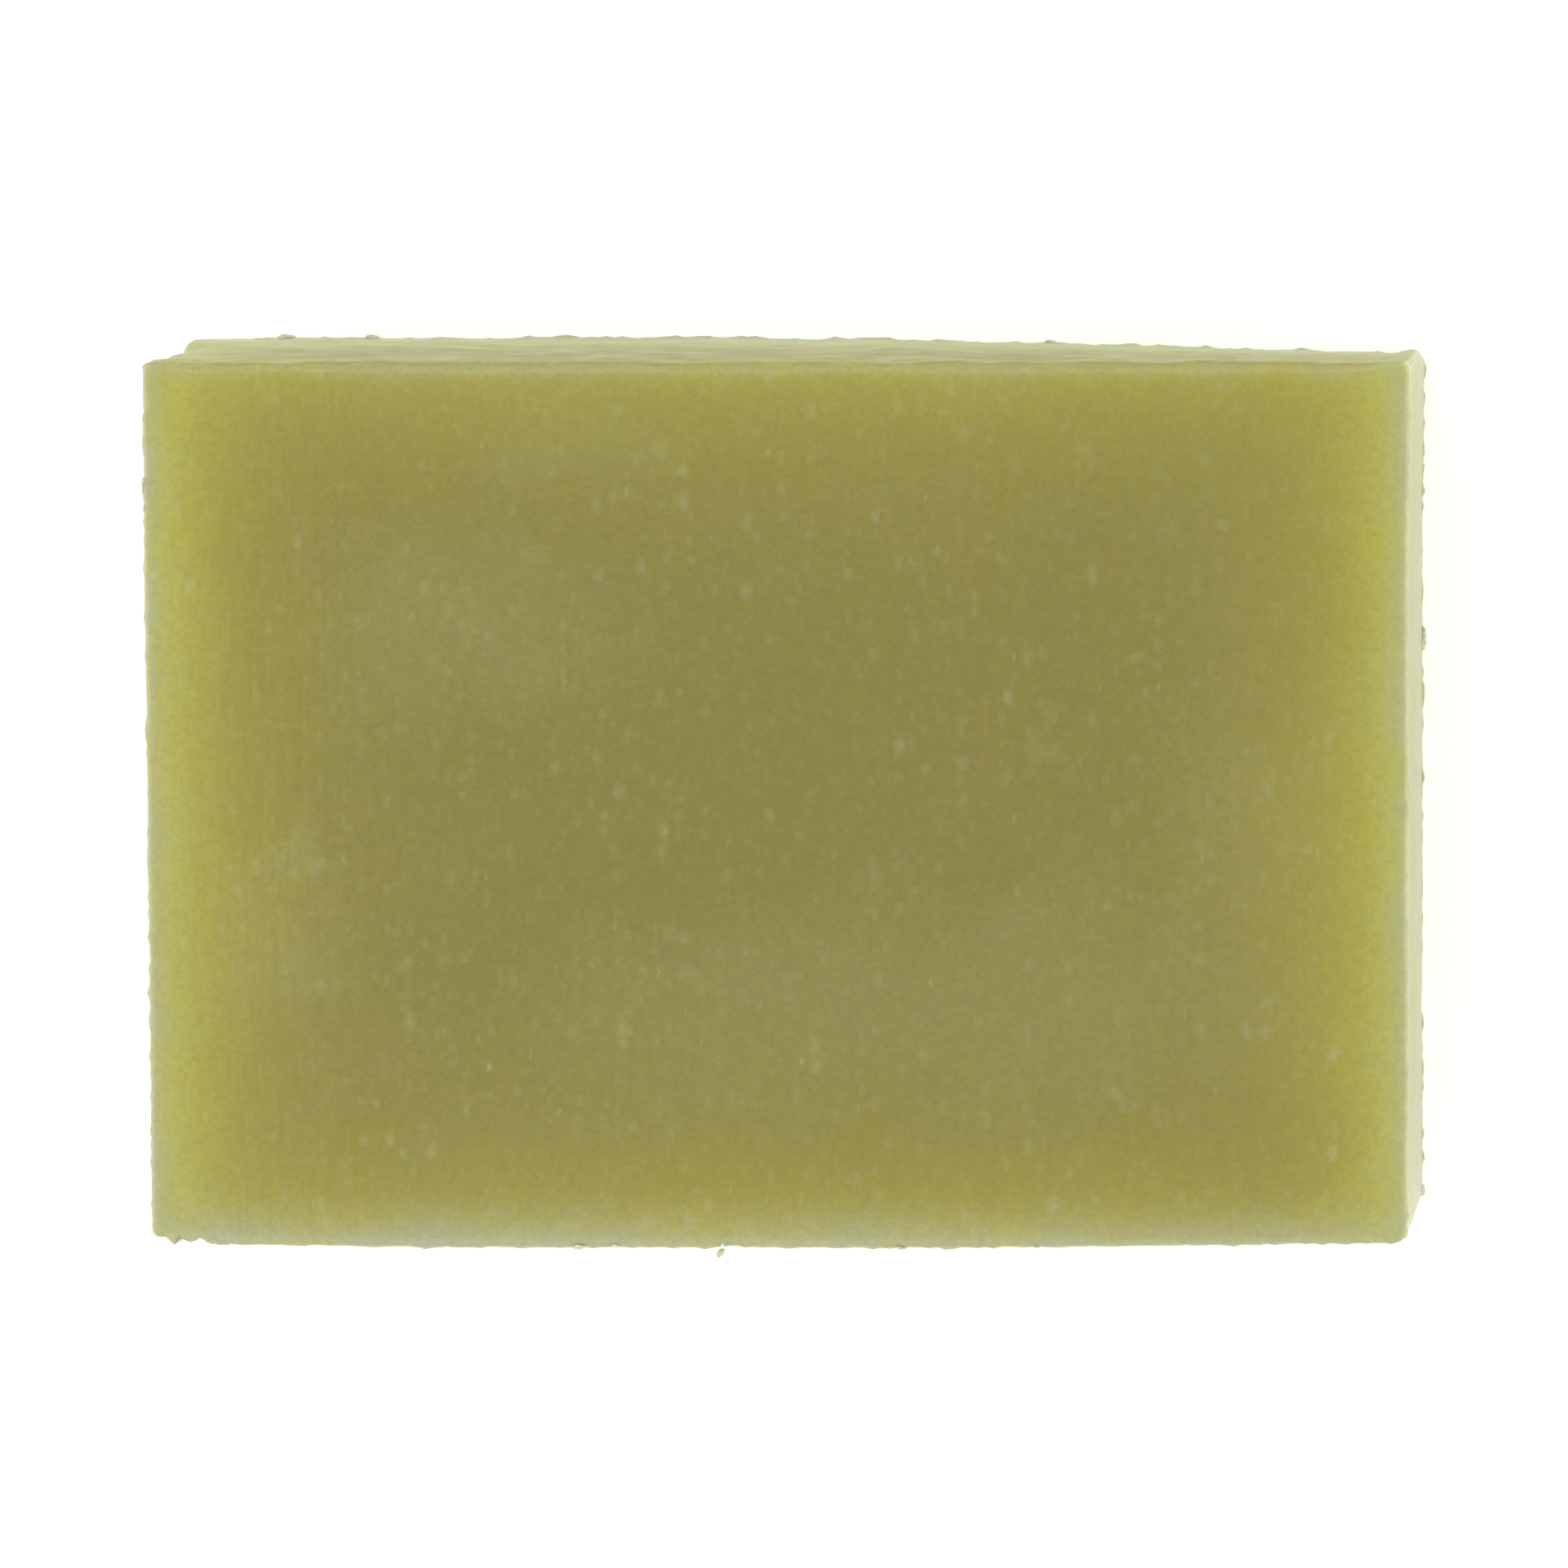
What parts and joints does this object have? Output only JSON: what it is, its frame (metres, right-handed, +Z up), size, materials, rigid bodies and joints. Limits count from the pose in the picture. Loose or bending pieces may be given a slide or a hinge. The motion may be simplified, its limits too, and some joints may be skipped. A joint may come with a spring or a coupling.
{
  "type": "clay bar",
  "caption": "Flat rectangular bar cut from a block of waxy, pale olive clay, for kneading, rubbing and cleaning by hand.",
  "frame": {"origin": "centre of the underside that the bar lies on", "axes": "+X along the bar's length, +Y along its width, +Z up out of the large top face"},
  "size_m": [0.0886, 0.063, 0.025],
  "materials": {
    "clay": "satin",
    "clay_scraps": "satin"
  },
  "bodies": {
    "root": {"bar": "clay", "corner_bead": "clay_scraps", "hanging_crumb": "clay_scraps", "far_edge_crumbs": "clay_scraps", "right_edge_crumbs": "clay_scraps", "right_corner_crumbs": "clay_scraps", "near_edge_crumbs": "clay_scraps", "left_corner_crumbs": "clay_scraps", "left_edge_crumbs": "clay_scraps"}
  },
  "joints": []
}
